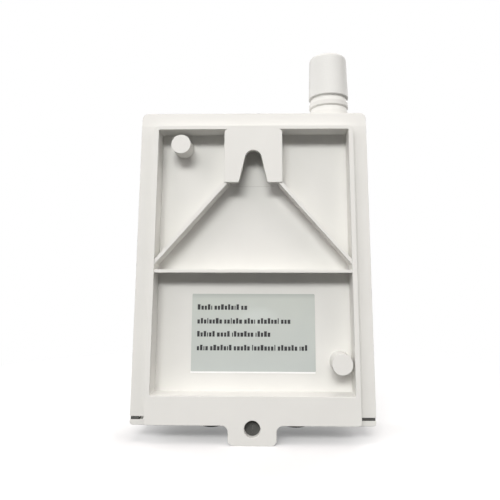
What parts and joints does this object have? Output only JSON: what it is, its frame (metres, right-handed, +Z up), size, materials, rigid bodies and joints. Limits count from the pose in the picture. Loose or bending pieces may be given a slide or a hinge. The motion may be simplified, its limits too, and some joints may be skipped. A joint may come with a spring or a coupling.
{
  "type": "radio receiver",
  "caption": "White wall-mounted radio receiver with hook recess, cover, stub antenna, relay board and two grommets",
  "frame": {"origin": "centre of the ear's lower wall-screw hole, in the plane of the wall", "axes": "+X to the right of someone who looks at the back, +Y away from the wall, +Z up"},
  "size_m": [0.0754, 0.0329, 0.1285],
  "materials": {
    "white_plastic": "fine satin moulding",
    "black_rubber": "matt rubber",
    "label_film": "matt silver-grey film",
    "board_laminate": "green lacquered glass-fibre board",
    "module_laminate": "blue lacquered glass-fibre board",
    "terminal_plastic": "matt green moulding",
    "plated_steel": "bright zinc plating",
    "plated_brass": "smooth plated brass",
    "relay_plastic": "smooth blue moulding",
    "black_plastic": "fine matt moulding",
    "copper_winding": "enamelled copper wire",
    "component_body": "lacquered body",
    "capacitor_sleeve": "shrunk glossy sleeve",
    "varistor_coating": "dipped blue coating",
    "disc_coating": "dipped ochre coating",
    "can_metal": "plain drawn can",
    "fuse_glass": "clear glass with plated caps",
    "foam": "closed-cell foam",
    "ferrite": "grey ferrite",
    "led_resin": "tinted resin",
    "clear_plastic": "clear moulding",
    "button_plastic": "satin grey moulding"
  },
  "bodies": {
    "base": {"rear_tray": "white_plastic", "rating_label": "label_film", "cable_grommet_left": "black_rubber", "cable_grommet_right": "black_rubber", "circuit_board": "board_laminate", "board_screws": "plated_steel", "supply_terminal": "terminal_plastic", "supply_terminal_cages": "plated_brass", "relay_terminal": "terminal_plastic", "relay_terminal_cages": "plated_brass", "relay_case": "relay_plastic", "relay_frame": "plated_steel", "relay_coil": "copper_winding", "microcontroller": "black_plastic", "memory_chip": "black_plastic", "receiver_board": "module_laminate", "receiver_pin_strip": "black_plastic", "receiver_pad": "foam", "receiver_chip": "black_plastic", "crystal_can": "can_metal", "tuning_coil": "can_metal", "smoothing_capacitor": "capacitor_sleeve", "filter_capacitor": "capacitor_sleeve", "rectifier_diodes": "black_plastic", "voltage_regulator": "black_plastic", "surge_varistor": "varistor_coating", "fuse_clips": "plated_brass", "fuse_link": "fuse_glass", "driver_transistor": "black_plastic", "resistors": "component_body", "ceramic_capacitors": "disc_coating", "learn_switch": "black_plastic", "status_led": "led_resin", "jumper_header": "black_plastic", "antenna_clip": "plated_brass"},
    "cover": {"front_cover": "white_plastic", "light_pipe": "clear_plastic", "antenna_collar": "white_plastic", "antenna_cap": "white_plastic", "antenna_pin": "plated_brass", "aerial_coil": "plated_brass"},
    "learn_button": {"learn_button": "button_plastic"},
    "switch_plunger": {"switch_plunger": "button_plastic"},
    "cover_screw_upper": {"cover_screw_upper": "plated_steel"},
    "cover_screw_lower": {"cover_screw_lower": "plated_steel"},
    "relay_armature": {"relay_armature": "plated_steel"},
    "jumper_cap": {"jumper_cap": "black_plastic"},
    "tuning_slug": {"tuning_slug": "ferrite"},
    "supply_terminal_screw_1": {"supply_terminal_screw_1": "plated_steel"},
    "supply_terminal_screw_2": {"supply_terminal_screw_2": "plated_steel"},
    "relay_terminal_screw_1": {"relay_terminal_screw_1": "plated_steel"},
    "relay_terminal_screw_2": {"relay_terminal_screw_2": "plated_steel"},
    "relay_terminal_screw_3": {"relay_terminal_screw_3": "plated_steel"}
  },
  "joints": [
    {"name": "cover_lift", "type": "slide", "parent": "base", "child": "cover", "axis": [0, 1, 0], "range_m": [0, 0.045]},
    {"name": "button_press", "type": "slide", "parent": "cover", "child": "learn_button", "axis": [0, -1, 0], "range_m": [0, 0.0005], "stiffness_N_per_m": 300, "springref_m": -0.001},
    {"name": "plunger_press", "type": "slide", "parent": "base", "child": "switch_plunger", "axis": [0, -1, 0], "range_m": [0, 0.0005]},
    {"name": "armature_rock", "type": "hinge", "parent": "base", "child": "relay_armature", "pos_m": [0.0128, 0.0245, 0.0258], "axis": [1, 0, 0], "range_deg": [0, 2.8], "stiffness_Nm_per_rad": 0.02, "springref_deg": -5.73},
    {"name": "jumper_pull", "type": "slide", "parent": "base", "child": "jumper_cap", "axis": [0, 1, 0], "range_m": [0, 0.006]},
    {"name": "slug_turn", "type": "hinge", "parent": "base", "child": "tuning_slug", "pos_m": [-0.02, 0, 0.0725], "axis": [0, 1, 0], "continuous": true},
    {"name": "cover_screw_upper_turn", "type": "hinge", "parent": "cover", "child": "cover_screw_upper", "pos_m": [-0.02395, 0.0153, 0.0887], "axis": [0, 1, 0], "continuous": true},
    {"name": "cover_screw_lower_turn", "type": "hinge", "parent": "cover", "child": "cover_screw_lower", "pos_m": [0.02765, 0.0153, 0.0188], "axis": [0, 1, 0], "continuous": true},
    {"name": "supply_terminal_screw_1_turn", "type": "hinge", "parent": "base", "child": "supply_terminal_screw_1", "pos_m": [-0.0162, 0.0201, 0.016], "axis": [0, 1, 0], "continuous": true},
    {"name": "supply_terminal_screw_2_turn", "type": "hinge", "parent": "base", "child": "supply_terminal_screw_2", "pos_m": [-0.0112, 0.0201, 0.016], "axis": [0, 1, 0], "continuous": true},
    {"name": "relay_terminal_screw_1_turn", "type": "hinge", "parent": "base", "child": "relay_terminal_screw_1", "pos_m": [0.0078, 0.0201, 0.016], "axis": [0, 1, 0], "continuous": true},
    {"name": "relay_terminal_screw_2_turn", "type": "hinge", "parent": "base", "child": "relay_terminal_screw_2", "pos_m": [0.0128, 0.0201, 0.016], "axis": [0, 1, 0], "continuous": true},
    {"name": "relay_terminal_screw_3_turn", "type": "hinge", "parent": "base", "child": "relay_terminal_screw_3", "pos_m": [0.0178, 0.0201, 0.016], "axis": [0, 1, 0], "continuous": true}
  ],
  "couplings": [
    {"joint": "plunger_press", "follows": "button_press", "ratio": 1}
  ]
}
